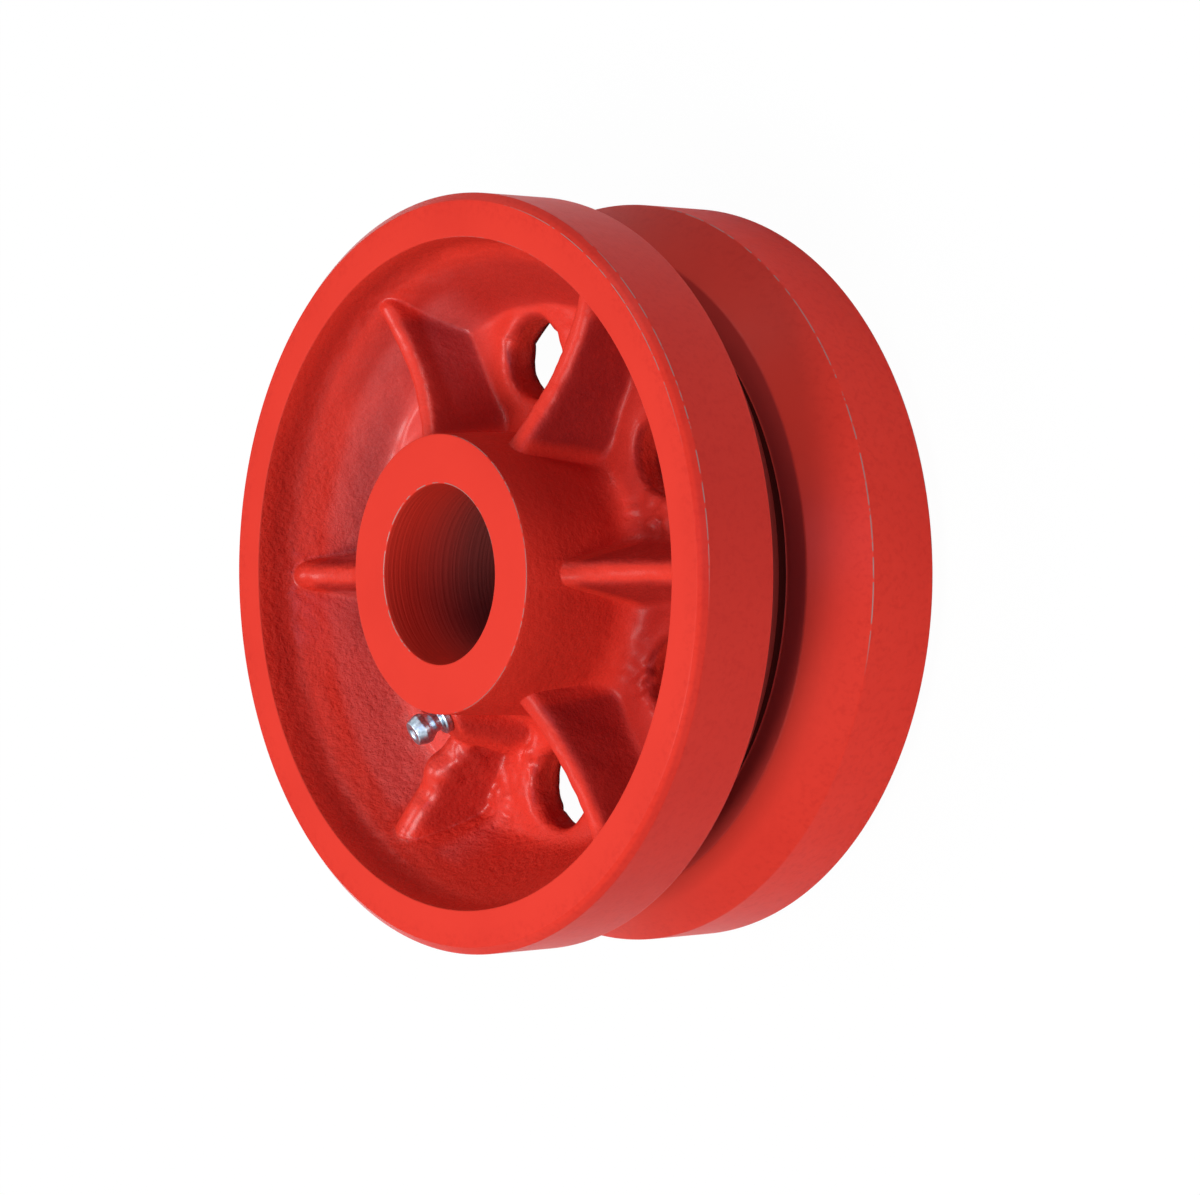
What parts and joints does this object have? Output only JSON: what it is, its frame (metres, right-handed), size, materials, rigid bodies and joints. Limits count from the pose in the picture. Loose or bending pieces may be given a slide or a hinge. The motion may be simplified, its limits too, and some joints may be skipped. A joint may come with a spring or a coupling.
{
  "type": "v-groove wheel",
  "caption": "Cast-iron track wheel with a V-groove round its tread, a web with six ribs and six cored holes, a plain bore for a bearing and a grease fitting by the hub.",
  "frame": {"origin": "centre of the bore, on the middle plane of the groove", "axes": "+Z along the bore axis out of the face that carries the grease fitting, +X along a rib, +Y square to both"},
  "size_m": [0.1524, 0.1524, 0.0676],
  "materials": {
    "red_paint": "semi-gloss red enamel over cast iron",
    "zinc_steel": "bright zinc plate",
    "ball_steel": "polished",
    "spring_steel": "drawn wire"
  },
  "bodies": {
    "wheel": {"wheel_casting": "red_paint", "grease_fitting_body": "zinc_steel", "check_spring": "spring_steel"},
    "ball": {"check_ball": "ball_steel"}
  },
  "joints": [
    {"name": "ball_slide", "type": "slide", "parent": "wheel", "child": "ball", "axis": [0.265, 0.4589, -0.848], "range_m": [0, 0.0006], "stiffness_N_per_m": 2600, "springref_m": -0.0004, "deforming": ["check_spring"]}
  ]
}
